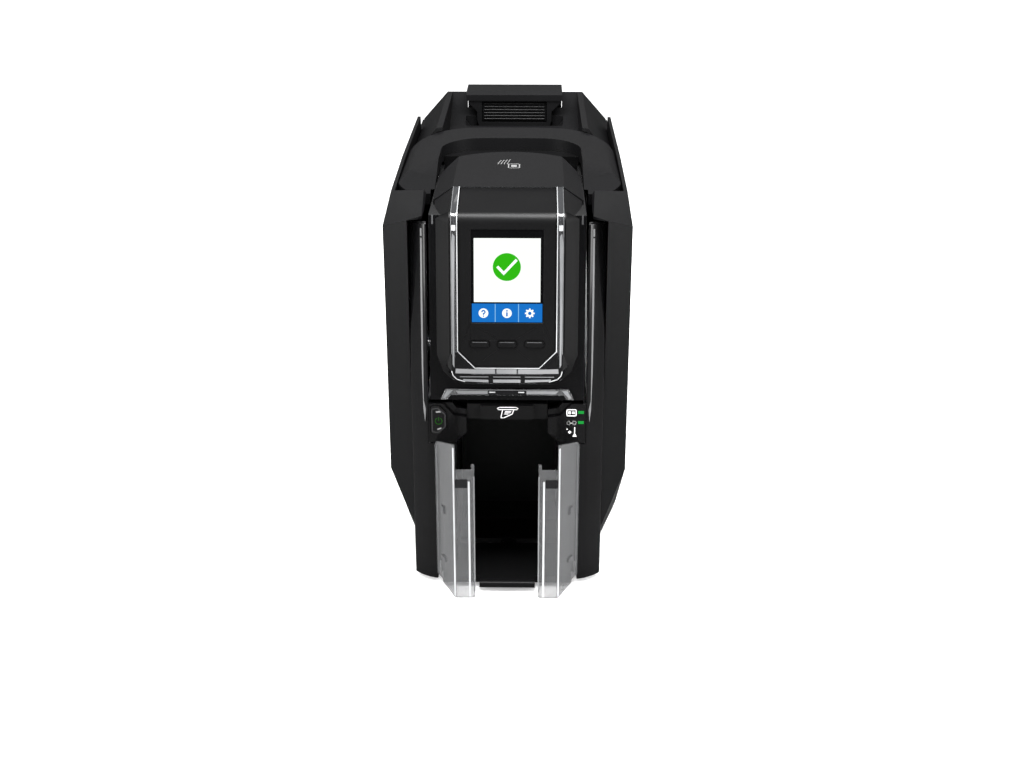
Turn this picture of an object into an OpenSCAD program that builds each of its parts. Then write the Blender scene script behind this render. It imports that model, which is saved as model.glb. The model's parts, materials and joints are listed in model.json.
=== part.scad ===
// Desktop printer for plastic identity cards: a narrow upright body with a lift-up front cover
// that carries the display, a rear card door, a card path on rollers and an output bay in front.
// Millimetres. The origin is on the table under the middle of the body, the front faces -Y.

/* [Cards] */
// Length of a card
card_l = 85.6; // [85:0.1:86]
// Width of a card
card_w = 54; // [53.5:0.1:54.5]
// Height of the card path above the table
card_z = 131.2; // [130.6:0.1:131.6]
// Side play of a card in its guides
card_play = 0.6; // [0.3:0.1:1]

/* [Body] */
// Overall width over the side panels
body_w = 158; // [156:1:162]
// Overall depth over the output guards and the rear wall
body_d = 404; // [402:1:408]
// Height of the rear deck
deck_h = 263.5; // [262:0.5:265]
// Height of the rubber feet
foot_h = 3; // [2:0.5:4]
// Radius of a rubber foot
foot_r = 8; // [6:0.5:10]
// Wall of the moulded covers
wall = 2.5; // [2:0.1:3]
// Thickness of the base tray
base_t = 2.5; // [2:0.1:3]
// Height of the side panel's rear lip
lip_h = 254; // [252:0.5:256]
// Gap between neighbouring covers
seam_gap = 0.4; // [0.2:0.1:0.6]

/* [Front] */
// How far the output guards reach in front of the cover
guard_reach = 30; // [26:0.5:32]
// Height of the seam under the cover
seam_z = 133; // [132.6:0.1:133.4]
// Backward lean of the front in degrees
lean = 8; // [7:0.25:9]
// Half width of the opening cover
cover_x = 49.5; // [48.5:0.25:50]
// Wall thickness of the clear output guards
guard_t = 2.2; // [1.8:0.1:2.8]
// Height of the output guards
guard_h = 103.5; // [98:0.5:104]
// Height of the guards' raised front corners
guard_rise = 116; // [108:0.5:118]
// Height of the guards' front flanges
flange_h = 100.5; // [94:0.5:102]
// Width of the display glass
lcd_w = 45.2; // [43:0.2:46]
// Height of the display glass
lcd_h = 58.8; // [57:0.2:60]
// Width of a menu button
key_w = 12; // [10:0.5:13]
// Height of a menu button
key_h = 4; // [3.6:0.1:4.6]
// Distance between menu buttons
key_pitch = 17.3; // [16.5:0.1:18]
// Travel of a menu button
key_travel = 0.8; // [0.5:0.1:0.9]
// Width of the power button
power_w = 10.1; // [9:0.1:10.4]
// Height of the power button
power_h = 19.4; // [16:0.2:20]
// Travel of the power button
power_travel = 1; // [0.5:0.1:1.5]

/* [Hinges] */
// Distance of the cover hinge behind the middle of the body
hinge_y = -10; // [-11:0.5:-9]
// Radius of the cover hinge pins
hinge_r = 3; // [2.5:0.1:3.5]
// Radius of the card door's hinge pin
door_pin_r = 2; // [1.6:0.1:2.4]
// Height of the card door's hinge
door_pin_z = 126; // [124:0.5:128]
// Half width of the card door
door_x = 39.7; // [38:0.1:40.5]
// Running clearance of pins and shafts
fit = 0.05; // [0.03:0.01:0.1]

/* [Drive] */
// Radius of the transport rollers
roller_r = 8; // [7:0.1:8.4]
// Length of the transport rollers
roller_l = 48; // [40:1:50]
// Radius of the roller shafts
shaft_r = 3; // [2.5:0.1:3.2]
// Gear module
gear_m = 0.8; // [0.7:0.05:0.85]
// Teeth of the platen gear
gear_n = 45; // [42:3:48]
// Teeth of the motor pinion
pinion_n = 15; // [14:1:16]
// Play between the teeth
backlash = 0.16; // [0.1:0.02:0.3]
// Face width of the gears
gear_w = 5; // [4:0.5:6]
// Radius of the belt pulleys
pulley_r = 9; // [8:0.1:9.4]
// Thickness of the drive belt
belt_t = 1.3; // [1:0.1:1.6]
// Width of the drive belt
belt_w = 4; // [3:0.5:4.5]
// Radius of the drive motor
motor_r = 12.5; // [11:0.5:13]
// Thickness of the steel side plates
plate_t = 1.5; // [1.2:0.1:2]
// Radius of the full ribbon roll
supply_r = 16; // [12:0.5:18]
// Radius of the used ribbon roll
takeup_r = 10; // [8:0.5:12]

/* [Hidden] */
$fn = 48;
hw = body_w / 2;
rear_y = body_d / 2;
guard_y = -body_d / 2;
front_y = guard_y + guard_reach;
plate_x = cover_x + 2.5;
base_top = foot_h + base_t;
// inner face of the side panels
panel_in = hw - wall;
// outer edge of the front columns and inner edge of the side cowls
column_out = hw - 16.3;
cowl_in = column_out + seam_gap;
// column inner edge beside the bay and beside the controls
column_in = cover_x - 2.8;
column_up = cover_x + 1.5;
block_top = seam_z - 1.5;
block_bottom = seam_z - 28.5;
block_in = 26.4;
block_out = column_up - 0.2;
block_back = front_y + 12;
// lowest edge of the cover
cover_bottom = seam_z + 1;
cover_top = deck_h - 11.5;
hinge_z = deck_h - 23.5;
cover_back = hinge_y - 14;
cap_front = front_y + 48;
cap_top = deck_h - 1.5;
cap_arc = 50;
cap_flat = 36;
cap_x = cover_x - 0.9;
// opening in the hood around the cover, and the hood's own outline
well_x = cover_x + 3.5;
well_back = 24;
well_r = 30;
well_low = deck_h - 37.5;
hood_x = panel_in - 0.6;
hood_back = 59;
hood_r = 45;
hood_front = -86;
hood_top = deck_h - 1;
hood_base = hood_top - 22;
hood_side = deck_h - 13.5;
lobe_r = 18;
// the hood's inner lip above the cover's hinge, and the shelf behind the cap
lip_in = 2.8;
ledge_low = hinge_z + 9.6;
shelf_front = 2;
shelf_top = hinge_z + 13.2;
// rear deck
ridge_x = hw - 21.6;
deck_in = panel_in - 0.6;
deck_front = 0;
deck_low = deck_h - 20.7;
deck_skirt = deck_h - 31.5;
// shallow dish in the deck: half length, depth and the radius that they give
scoop_x = 53;
scoop_half = 84;
scoop_depth = 22;
scoop_y = rear_y - scoop_half;
scoop_r = (pow(scoop_half, 2) + pow(scoop_depth, 2)) / 2 / scoop_depth;
scoop_z = deck_h - scoop_depth + scoop_r;
// pocket around the door's grip
pocket_x = 40.5;
pocket_low = deck_h - 25.5;
// card door
grip_x = 31;
grip_front = rear_y - 36;
grip_low = deck_h - 23.5;
lid_front = rear_y - 37;
lid_low = deck_h - 1;
neck_low = lid_low - 9;
lid_top = deck_h + 6.5;
door_t = 4;
door_pin_y = rear_y - 5.5;
barrel_r = 5.5;
latch_x = 26.6;
latch_y = grip_front + 4;
latch_z = lid_low - 4.5;
latch_pin_r = 1.5;
// card path
guide_in = card_w / 2 + card_play;
guide_out = guide_in + 2;
guide_top = card_z - 0.4;
guide_low = guide_top - 3.2;
rail_top = card_z + 1.3;
shaft_z = card_z - roller_r;
exit_y = -84;
platen_y = -60;
transport_y = 20;
pick_y = rear_y - 67;
mag_front = rear_y - 6 - card_l - card_play * 2;
mag_top = grip_low - 6;
mag_back = door_pin_y - barrel_r - 1;
bush_r = shaft_r + 2;
cleaner_r = 7;
cleaner_z = card_z + 0.9 + cleaner_r;
cleaner_pin_r = 2.5;
flap_y = -97;
flap_z = guide_low - 1;
flap_pin_r = 1.5;
flap_l = 22;
// gears and belt lie outside the left plate
gear_x = -plate_x - plate_t - 2.5 - gear_w;
belt_x = gear_x - 2.5 - belt_w;
shaft_left = belt_x - 1.5;
shaft_right = plate_x + plate_t + 2;
centre_dist = gear_m * (gear_n + pinion_n) / 2;
mesh_angle = -53.13;
motor_y = platen_y + centre_dist * cos(mesh_angle);
motor_z = shaft_z + centre_dist * sin(mesh_angle);
// ribbon rolls in the cover
supply_y = -112;
takeup_y = -36;
ribbon_z = 190;
spool_pin_r = 4;
// depth of the sockets that hold the ribbon rolls, from the cover's side
spool_seat = 5.5;
head_z = card_z + 1.4;
// display head, in the leaning frame of the cover's front
head_proud = 7;
head_x = 36.5;
face_x = 31;
face_low = 24;
face_cut = 10.5;
bezel_w = 4.4;
bezel_proud = 0.8;
lcd_low = 53.1;
key_z = 39.3;
face_floor = 4.6;
// bend at the head's top edge, from the leaning front to the slope up to the cap
bend_r = 8;
top_slope = 12;
// controls
power_x = -44.3;
power_z = seam_z - 12.7;
power_cut = 4.6;
tray_top = foot_h + 5;
// plan of the output guards: corner of wall and flange, and the flange's inner edge
guard_corner = 34.5;
flange_in = 20.5;
bay_back = -85;
screw_x = panel_in - 6;

// ---------- helpers ----------

// outline in Y and Z, extruded from x0 to x1
module along_x(points, x0, x1) {
  translate([x0, 0, 0]) rotate([90, 0, 90]) linear_extrude(x1 - x0) polygon(points);
}

// outline in X and Z, extruded from y0 to y1
module along_y(points, y0, y1) {
  translate([0, y1, 0]) rotate([90, 0, 0]) linear_extrude(y1 - y0) polygon(points);
}

// box given by its lowest and highest corners
module block(low, high) {
  translate(low) cube(high - low);
}

// round bar along X
module bar_x(y, z, r, x0, x1) {
  translate([x0, y, z]) rotate([0, 90, 0]) cylinder(r = r, h = x1 - x0);
}

// round bar along Y
module bar_y(x, z, r, y0, y1) {
  translate([x, y1, z]) rotate([90, 0, 0]) cylinder(r = r, h = y1 - y0);
}

// rectangle with round corners, given by its edges
module round_rect(x0, x1, y0, y1, r) {
  translate([x0 + r, y0]) square([x1 - x0 - 2 * r, y1 - y0]);
  translate([x0, y0 + r]) square([x1 - x0, y1 - y0 - 2 * r]);
  for (x = [x0 + r, x1 - r], y = [y0 + r, y1 - r])
    translate([x, y]) circle(r = r);
}

// the leaning frame of the cover's front: x across, y into the body, z up the face
module leaning() {
  translate([0, front_y, seam_z]) rotate([-lean, 0, 0]) children();
}

// plate in the leaning frame with round corners, y0 is its front
module face_plate(x0, x1, z0, z1, r, y0, y1) {
  translate([0, y1, 0]) rotate([90, 0, 0]) linear_extrude(y1 - y0)
    round_rect(x0, x1, z0, z1, r);
}

// both sides of the body
module both_sides() {
  children();
  mirror([1, 0, 0]) children();
}

// involute gear outline with a tooth centred on angle 0
function flank_r(rb, t) = rb * sqrt(1 + t * t);
function flank_a(half, t) = half - (t * 180 / PI - atan(t));
module gear_outline(n, m) {
  rp = n * m / 2;
  rb = rp * cos(20);
  ro = rp + m * 0.95;
  root = rp - m * 1.25;
  half = 90 / n + 0.8539 - backlash / 2 / rp * 180 / PI;
  roll = sqrt(pow(ro / rb, 2) - 1);
  steps = 5;
  polygon([for (i = [0 : n - 1], k = [-steps - 1 : steps + 1])
    let (s = abs(k) - 1,
         t = s < 0 ? roll : roll * (steps - s) / steps,
         foot = abs(k) == steps + 1,
         r = foot ? root : flank_r(rb, t),
         a = i * 360 / n + sign(k) * (foot ? half : flank_a(half, t)))
    [r * cos(a), r * sin(a)]]);
}

module gear(n, m, y, z, turn, x0, x1) {
  translate([x0, y, z]) rotate([90, 0, 90]) linear_extrude(x1 - x0) rotate(turn) gear_outline(n, m);
}

// roller with its shaft and belt pulley
module roller(y) {
  bar_x(y, shaft_z, roller_r, -roller_l / 2, roller_l / 2);
  shaft(y);
}

module shaft(y) {
  bar_x(y, shaft_z, shaft_r, shaft_left, shaft_right);
  bar_x(y, shaft_z, pulley_r, belt_x, belt_x + belt_w);
}

// ---------- base and outer covers ----------

module base_tray() {
  color("#2b2d30") {
    difference() {
      translate([0, 0, foot_h]) linear_extrude(base_t) polygon([
        [-column_out, block_back + 12], [column_out, block_back + 12], [column_out, -60],
        [panel_in, -48], [panel_in, rear_y - 3.4], [-panel_in, rear_y - 3.4],
        [-panel_in, -48], [-column_out, -60]]);
      for (x = [-30 : 10 : 30])
        block([x - 2, 110, foot_h - 1], [x + 2, 160, base_top + 1]);
    }
  }
}

module rubber_feet() {
  color("#141414")
    for (x = [-1, 1], y = [-134, rear_y - 20])
      translate([x * (column_out - 12), y, 0]) cylinder(r = foot_r, h = foot_h);
}

// corners of the cowl in front of the side wall, moved inwards by t
function cowl_points(t, inner, back) = [
  [hw - t, front_y + 22 + t, 75 + t * 0.4], [hw - t, front_y + 22 + t, 243.5 - t],
  [hw - t, -90 + back, 251 - t], [hw - t, -58 + back, base_top - 1.5],
  [cowl_in - inner, front_y + 11.7 + t, 37 + t], [cowl_in - inner, front_y + 15.5 + t, 234 - t],
  [cowl_in - 1 - inner, front_y + 14.5 + t * 1.4, 249.5 - t], [60 - t, -132, 252 - t],
  [cowl_in - 9 - inner, front_y + 22, 250 - t], [57 - t, -90 + back, 251.5 - t],
  [cowl_in - 10 - inner, -132 + t, 243 - t * 2],
  [cowl_in - 10 - inner, -90 + back, 246 - t * 2], [cowl_in - inner, -118 + t, base_top - 1.5],
  [cowl_in - inner, -58 + back, base_top - 1.5]];

// solid hull of a list of corners
module point_hull(points) {
  hull() polyhedron(points, [for (i = [0 : len(points) - 3]) [i, i + 1, i + 2]]);
}

module side_panel() {
  difference() {
    union() {
      difference() {
        point_hull(cowl_points(0, 0, 0));
        point_hull(cowl_points(wall, 8, 12));
        block([0, -95, 30], [cowl_in, 0, 200]);
      }
      along_x([[-96, 45], [-58, foot_h + 1], [rear_y - 3.2, foot_h + 1], [rear_y - 3.2, 240],
        [rear_y - 55, 240], [rear_y - 57, lip_h - 0.5], [0, lip_h], [-90, 251], [-96, 246]],
        panel_in, hw);
      // screw bosses at the rear
      for (z = [20, 224])
        block([screw_x - 6, rear_y - 14, z - 6], [panel_in + 0.5, rear_y - 3.2, z + 6]);
    }
    for (z = [20, 224])
      bar_y(screw_x, z, 1.5, rear_y - 15, rear_y);
    // room for the column's leaning part
    leaning() block([column_up - 2, -6, -10], [column_out + seam_gap, 12.4, 116.9]);
  }
}

module left_side_panel() {
  color("#303236") mirror([1, 0, 0]) side_panel();
}

module right_side_panel() {
  color("#303236") side_panel();
}

// bowed front of a column in plan, seen from above, with a thin wall behind it
function column_plan(inner, depth, dy = 0) = [
  [column_out, front_y + 12 + dy], [column_out, front_y + 8 + dy], [column_out - 4.5, front_y + 4 + dy],
  [column_out - 10, front_y + 0.6 + dy], [inner, front_y - (inner < column_up ? 1.5 : 0) + dy],
  [inner, front_y + depth + dy], [column_out - 10, front_y + depth + dy],
  [column_out - 3, front_y + 9 + dy], [column_out - 3, front_y + 12 + dy]];

// how the plan's corners share out its ends in convex pieces
column_ends = [[0, 1, 7, 8], [1, 2, 6, 7], [2, 3, 6], [3, 4, 5, 6]];

// upper part of a column, whose top is shifted back by the lean
module leaning_column(top) {
  low = column_plan(column_up, 5);
  high = column_plan(column_up, 5, (top - seam_z) * tan(lean));
  n = len(low);
  polyhedron(
    concat([for (p = low) [p[0], p[1], seam_z]], [for (p = high) [p[0], p[1], top]]),
    concat([for (e = column_ends) [for (k = [len(e) - 1 : -1 : 0]) e[k]]],
      [for (e = column_ends) [for (i = e) n + i]],
      [for (i = [0 : n - 1]) [i, (i + 1) % n, n + (i + 1) % n, n + i]]));
}

module column() {
  guard_top = guard_h + 0.5;
  translate([0, 0, foot_h]) linear_extrude(guard_top - foot_h)
    polygon(column_plan(column_in, 5));
  translate([0, 0, guard_top]) linear_extrude(seam_z - guard_top)
    polygon(column_plan(column_up, 5));
  leaning_column(lip_h - 7);
  // wall beside the bay, standing on the base
  block([column_in, front_y + 4, base_top], [column_in + wall, -120, guard_top]);
}

module left_column() {
  color("#0c0d0f") mirror([1, 0, 0]) column();
}

module right_column() {
  color("#0c0d0f") column();
}

module slot_frame() {
  color("#17181a") difference() {
    union() {
      block([-block_in + 0.4, front_y + 1, seam_z - 12.6], [block_in - 0.4, block_back, guide_top]);
      block([-block_out, block_back, block_bottom], [block_out, block_back + wall, guide_top]);
    }
    // hollow behind the label plate
    block([-block_in + wall, front_y + wall + 1, seam_z - 15],
      [block_in - wall, block_back + wall + 1, guide_top - wall]);
    // the bay's mouth
    block([-34, block_back - 1, block_bottom - 1], [34, block_back + wall + 1, seam_z - 14.6]);
  }
}

module slot_label_plate() {
  color("#1d1e20") translate([0, front_y + 1, 0]) rotate([90, 0, 0]) linear_extrude(2)
    round_rect(-17.3, 17.3, seam_z - 12.2, guide_top - 0.4, 1.5);
}

// control block beside the bay's mouth, on the right
module control_block() {
  difference() {
    union() {
      // front plate, cut back beside the slot, over a larger plate behind
      along_y([[block_in, block_top - 9.2], [34.5, block_top - 8], [41.5, block_top], [block_out, block_top],
        [block_out, block_bottom], [33.5, block_bottom], [block_in, block_bottom + 7]],
        front_y - 1, front_y + 2);
      along_y([[block_in, block_top - 4.5], [33, block_top - 3.5], [35.6, block_top], [block_out, block_top],
        [block_out, block_bottom], [33.5, block_bottom], [block_in, block_bottom + 7]],
        front_y + 1.5, block_back);
    }
    along_y([[block_in + wall, block_top - 12], [36, block_top - 11], [41.5, block_top - wall],
      [block_out - wall, block_top - wall], [block_out - wall, block_bottom + wall],
      [34.5, block_bottom + wall], [block_in + wall, block_bottom + 8.5]],
      front_y - 1 + wall, block_back + 1);
  }
}

// power button's outline, its inner side has the larger corner cuts
module power_form(grow, y0, y1) {
  w = power_w / 2 + grow;
  h = power_h / 2 + grow;
  cut = power_cut + min(grow, 0);
  translate([power_x, 0, power_z]) along_y([[-w, 1.5 - h], [1.5 - w, -h], [w - cut, -h], [w, cut - h],
    [w, h - cut], [w - cut, h], [1.5 - w, h], [-w, h - 1.5]], y0, y1);
}

module left_control_block() {
  color("#101113") difference() {
    mirror([1, 0, 0]) control_block();
    power_form(0.3, front_y - 2, front_y + wall + power_travel + 1);
  }
}

module light_slots(grow, proud) {
  for (z = [seam_z - 7, seam_z - 14.1])
    block([46 - grow, front_y - 1 - proud, z - 0.9 - grow],
      [49.6 + grow, front_y + wall - 1 + grow, z + 0.9 + grow]);
}

module right_control_block() {
  color("#101113") difference() {
    control_block();
    light_slots(0.1, 2);
  }
}

module status_lights() {
  color("#2fbf4a") light_slots(0, 0.2);
}

module output_tray() {
  color("#1b1c1e") {
    // floor with its front lip
    difference() {
      union() {
        block([-43, front_y - 6, foot_h + 0.2], [43, block_back + 11.6, tray_top]);
        block([-45, front_y + 5, base_top], [45, bay_back, tray_top]);
        block([-18.6, front_y - 13, foot_h + 0.2], [18.6, front_y - 5, tray_top]);
      }
      bar_x(front_y - 13, tray_top, 1.6, -25, 25);
    }
    // raised rear floor with a notch in its front edge
    difference() {
      along_x([[-131, tray_top], [-129, tray_top + 2.5], [-100, tray_top + 2.5],
        [bay_back, 20], [bay_back, tray_top]], -34, 34);
      translate([0, -133, tray_top - 1]) cylinder(r = 6, h = 6);
    }
    // back and side walls
    block([-36, bay_back - 2, tray_top], [36, bay_back + 0.5, 108]);
    both_sides() {
      block([34, front_y + 16, tray_top], [36, bay_back, block_bottom - 0.5]);
      block([36, front_y + 16, tray_top], [column_in - 0.2, front_y + 18, block_bottom - 0.5]);
    }
  }
}

// plan of the guard's slanting wall and front flange, shared by the wall and its foot
function flange_plan() = [[guard_corner, guard_y + 1.6], [guard_corner - 1.6, guard_y], [flange_in + 1.4, guard_y],
  [flange_in, guard_y + 1.4], [flange_in, guard_y + 4], [flange_in + 2, guard_y + 4],
  [flange_in + 2, guard_y + guard_t], [guard_corner - 1.8, guard_y + guard_t]];

// clear guard beside the bay, on the right
module output_guard() {
  difference() {
    union() {
      // tab inside the column, slanting wall and front flange
      translate([0, 0, tray_top + 0.2]) linear_extrude(guard_rise - tray_top - 0.2)
        polygon(concat([[column_in - 0.2, front_y + 15], [column_in - 0.2, front_y - 2.2],
          [column_in + 0.6, front_y - 2.2], [column_in - 0.3, front_y - 4]], flange_plan(),
          [[column_in - 3.2, front_y - 4.4], [column_in - 2.2, front_y - 2],
          [column_in - 2.2, front_y + 15]]));
      translate([0, 0, foot_h + 2]) linear_extrude(tray_top)
        polygon(concat([[43.4, front_y - 8.4]], flange_plan(), [[41.4, front_y - 8]]));
    }
    // the wall rises to its front corner
    along_x([[front_y + 16, guard_h], [front_y - 2.4, guard_h], [front_y - 5, guard_h + 3.5],
      [guard_y - 1, guard_rise], [guard_y - 1, guard_rise + 1], [front_y + 16, guard_rise + 1]],
      guard_corner - 8, column_in + 2);
    // the front flange is lower than the wall, with a slanting top
    along_x([[guard_y - 1, flange_h - 8], [guard_y + 4, flange_h], [guard_y + 5, flange_h],
      [guard_y + 5, guard_rise + 1], [guard_y - 1, guard_rise + 1]], flange_in - 1, guard_corner - 1.8);
  }
  // two small snaps on the wall
  translate([41.5, guard_y + 16, 62]) rotate([0, 0, 61]) cube([4, 2.4, 5], center = true);
  translate([41.5, guard_y + 16, 26]) rotate([0, 0, 61]) cube([6, 2.4, 3], center = true);
}

module left_output_guard() {
  color("#b9c0c6") mirror([1, 0, 0]) output_guard();
}

module right_output_guard() {
  color("#b9c0c6") output_guard();
}

// height of the hood's arched section at x
function hood_arch(x, half, top, side) = side + (top - side) * pow(1 - pow(abs(x) / half, 3.4), 0.5);

module hood_section(half, top, side, low, y0, y1) {
  along_y(concat([[-half, low]],
    [for (k = [-16 : 16]) let (x = half * sin(k * 90 / 16)) [x, hood_arch(x, half, top, side)]],
    [[half, low]]), y0, y1);
}

module hood_plan(grow, low, high) {
  translate([0, 0, low]) linear_extrude(high - low) {
    difference() {
      round_rect(-hood_x - grow, hood_x + grow, hood_front - grow, hood_back + grow, lobe_r + grow);
      both_sides() difference() {
        translate([hood_x - hood_r, hood_back - hood_r]) square(hood_r + 9);
        translate([hood_x - hood_r, hood_back - hood_r]) circle(r = hood_r + grow);
      }
    }
  }
}

module well_plan(grow, low, high) {
  translate([0, 0, low]) linear_extrude(high - low)
    round_rect(-well_x - grow, well_x + grow, hood_front - 60, well_back + grow, well_r + grow);
}

// side view that slopes the hood's front down
module hood_slope(drop, y0) {
  along_x([[y0, hood_base - 30], [y0, hood_top - 14.5 - drop], [y0 + 20, hood_top - 8.5 - drop],
    [y0 + 52, hood_top - drop], [hood_back + 20, hood_top - drop], [hood_back + 20, hood_base - 30]], -hw, hw);
}

module top_hood() {
  color("#26282b") difference() {
    intersection() {
      hood_section(hood_x, hood_top, hood_side, hood_base, hood_front, hood_back + 10);
      hood_plan(0, hood_base, hood_top + 5);
      hood_slope(0, hood_front);
    }
    well_plan(0, hood_base - 5, ledge_low);
    well_plan(-lip_in, ledge_low - 1, hood_top + 9);
    // hollow underside
    difference() {
      intersection() {
        hood_section(hood_x - wall, hood_top - wall, hood_side - wall, hood_base - 4,
          hood_front + wall, hood_back + 20);
        hood_plan(-wall, hood_base - 4, hood_top);
        hood_slope(wall, hood_front + wall);
      }
      well_plan(wall, hood_base - 5, hood_top + 9);
    }
    // room for the cover hinge and the side plates
    both_sides()
      block([cover_x - 5, hinge_y - 10, hood_base - 5], [plate_x + 6, hinge_y + 10, ledge_low]);
  }
}

module hinge_well() {
  color("#131416") {
    // floor under the recess behind the cap, notched around the hinge
    translate([0, 0, well_low]) linear_extrude(wall) polygon([
      [-cover_x + 6.5, cover_back + 4], [cover_x - 6.5, cover_back + 4], [cover_x - 6.5, hinge_y + 11],
      [plate_x - 1, hinge_y + 11], [plate_x - 1, well_back + wall], [-plate_x + 1, well_back + wall],
      [-plate_x + 1, hinge_y + 11], [-cover_x + 6.5, hinge_y + 11]]);
    // wall up to the hood
    intersection() {
      difference() {
        well_plan(wall, well_low + wall, hood_base);
        well_plan(0, well_low, hood_base + 1);
      }
      block([-plate_x + 1, hinge_y + 11, well_low], [plate_x - 1, well_back + 9, hood_base]);
    }
    // raised shelf behind the cap, on its step wall
    intersection() {
      well_plan(-lip_in - 0.2, well_low, shelf_top);
      along_x([[shelf_front, well_low + 1], [shelf_front, shelf_top], [well_back, shelf_top],
        [well_back, shelf_top - wall], [shelf_front + wall, shelf_top - wall], [shelf_front + wall, well_low + 1]],
        -well_x, well_x);
    }
  }
}

module scoop(grow) {
  bar_x(scoop_y, scoop_z, scoop_r + grow, -scoop_x - grow, scoop_x + grow, $fn = 240);
}

// pocket in front of the door's grip, grown by a wall
module grip_pocket(grow) {
  low = pocket_low - grow;
  along_y([[-pocket_x + 6 - grow, low], [-pocket_x - grow, low + 8], [-pocket_x - grow, deck_h + 9],
    [pocket_x + grow, deck_h + 9], [pocket_x + grow, low + 8], [pocket_x - 6 + grow, low]],
    grip_front - 15 - grow, lid_front + 4 + grow);
}

module rear_housing() {
  color("#232528") difference() {
    union() {
      difference() {
        along_y([[-deck_in, deck_skirt], [-deck_in, deck_low], [-ridge_x, deck_h],
          [ridge_x, deck_h], [deck_in, deck_low], [deck_in, deck_skirt]], deck_front, rear_y);
        along_y([[-deck_in + wall, deck_skirt - 1], [-deck_in + wall, deck_low - 1.2],
          [-ridge_x + 1, deck_h - wall - 0.4], [ridge_x - 1, deck_h - wall - 0.4],
          [deck_in - wall, deck_low - 1.2], [deck_in - wall, deck_skirt - 1]],
          deck_front - 1, rear_y - 3);
      }
      // wider rear end over the side panels
      difference() {
        along_y([[-hw + 1, 240.4], [-ridge_x, deck_h], [ridge_x, deck_h], [hw - 1, 240.4]],
          rear_y - 54.4, rear_y);
        along_y([[-deck_in + 1, 239], [-deck_in + 1, deck_low - 3], [-ridge_x + 1, deck_h - wall - 0.4],
          [ridge_x - 1, deck_h - wall - 0.4], [deck_in - 1, deck_low - 3], [deck_in - 1, 239]],
          rear_y - 60, rear_y - 3);
      }
      // rear wall
      block([-hw + 1, rear_y - 3, base_top], [hw - 1, rear_y, 240.4]);
      // wall of the dish and of the pocket around the grip
      intersection() {
        union() {
          scoop(wall);
          grip_pocket(wall);
        }
        block([-scoop_x - wall, hood_back + 1, mag_top + 0.5], [scoop_x + wall, rear_y - 2, deck_h - 1]);
      }
      // ears of the door hinge
      both_sides()
        block([door_x + 1, rear_y - 11, door_pin_z - 6], [door_x + 5, rear_y - 3, door_pin_z + 6]);
    }
    scoop(0);
    grip_pocket(0);
    hood_plan(seam_gap, deck_skirt - 1, deck_h + 9);
    // seat and opening of the card door
    block([-door_x - 0.5, grip_front - 0.6, neck_low - 0.4], [door_x + 0.5, rear_y + 1, deck_h + 9]);
    block([-grip_x - 0.6, grip_front - 0.6, grip_low - 0.6], [grip_x + 0.6, rear_y + 1, deck_h + 9]);
    block([-door_x - 0.5, rear_y - 6, door_pin_z - 7.5], [door_x + 0.5, rear_y + 1, deck_h + 9]);
    bar_x(door_pin_y, door_pin_z, door_pin_r, -door_x - 5.5, door_x + 5.5);
    // sockets in the rear wall
    block([20.3, rear_y - 4, 14.8], [47.7, rear_y + 1, 35.2]);
    block([-47.2, rear_y - 4, 14.8], [-30.8, rear_y + 1, 28.7]);
    block([-25.2, rear_y - 4, 14.8], [-12.8, rear_y + 1, 26.2]);
    // vents low in the rear wall
    for (k = [-4 : 4])
      block([k * 7 - 2, rear_y - 4, 60], [k * 7 + 2, rear_y + 1, 92]);
    // screw holes with sunk heads
    for (x = [-screw_x, screw_x], z = [20, 224]) {
      bar_y(x, z, 1.7, rear_y - 4, rear_y + 1);
      bar_y(x, z, 3.4, rear_y - 1.8, rear_y + 1);
    }
  }
}

// ---------- frame and fixed inner pieces ----------

module chassis_plate() {
  difference() {
    along_x([[front_y + 26, base_top], [front_y + 26, 118], [-120, 130], [-60, 200], [-56, hood_base],
      [hinge_y - 9, hood_base], [hinge_y - 9, hinge_z + 6], [hinge_y - 6, hinge_z + 8],
      [hinge_y + 6, hinge_z + 8], [hinge_y + 9, hinge_z + 6], [hinge_y + 9, hood_base],
      [24, hood_base], [50, 222], [100, 180], [rear_y - 8, 180], [rear_y - 8, base_top]],
      plate_x, plate_x + plate_t);
    bar_x(hinge_y, hinge_z, hinge_r, plate_x - 1, plate_x + plate_t + 1);
    for (y = [exit_y, platen_y, transport_y, pick_y])
      bar_x(y, shaft_z, bush_r, plate_x - 1, plate_x + plate_t + 1);
    bar_x(transport_y, cleaner_z, cleaner_pin_r + fit, plate_x - 1, plate_x + plate_t + 1);
    bar_x(flap_y, flap_z, flap_pin_r + fit, plate_x - 1, plate_x + plate_t + 1);
  }
}

module left_chassis_plate() {
  color("#9a9fa3") difference() {
    mirror([1, 0, 0]) chassis_plate();
    // the motor's shaft passes through
    bar_x(motor_y, motor_z, 4, -plate_x - plate_t - 1, -plate_x + 1);
  }
}

module right_chassis_plate() {
  color("#9a9fa3") chassis_plate();
}

module hinge_pins() {
  color("#c8ccd0") {
    both_sides() {
      bar_x(hinge_y, hinge_z, hinge_r, cover_x - 6, plate_x + plate_t);
      bar_x(hinge_y, hinge_z, hinge_r + 2, plate_x + plate_t, plate_x + plate_t + 1.5);
    }
    bar_x(door_pin_y, door_pin_z, door_pin_r, -door_x - 5, door_x + 5);
  }
}

module shaft_bushes() {
  color("#c9b27a")
    for (y = [exit_y, platen_y, transport_y, pick_y])
      both_sides()
        difference() {
          union() {
            bar_x(y, shaft_z, bush_r, plate_x - 1.2, plate_x + plate_t + 1);
            bar_x(y, shaft_z, bush_r + 1.5, plate_x - 1.2, plate_x);
          }
          bar_x(y, shaft_z, shaft_r + fit, plate_x - 2, plate_x + plate_t + 2);
        }
}

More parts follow.
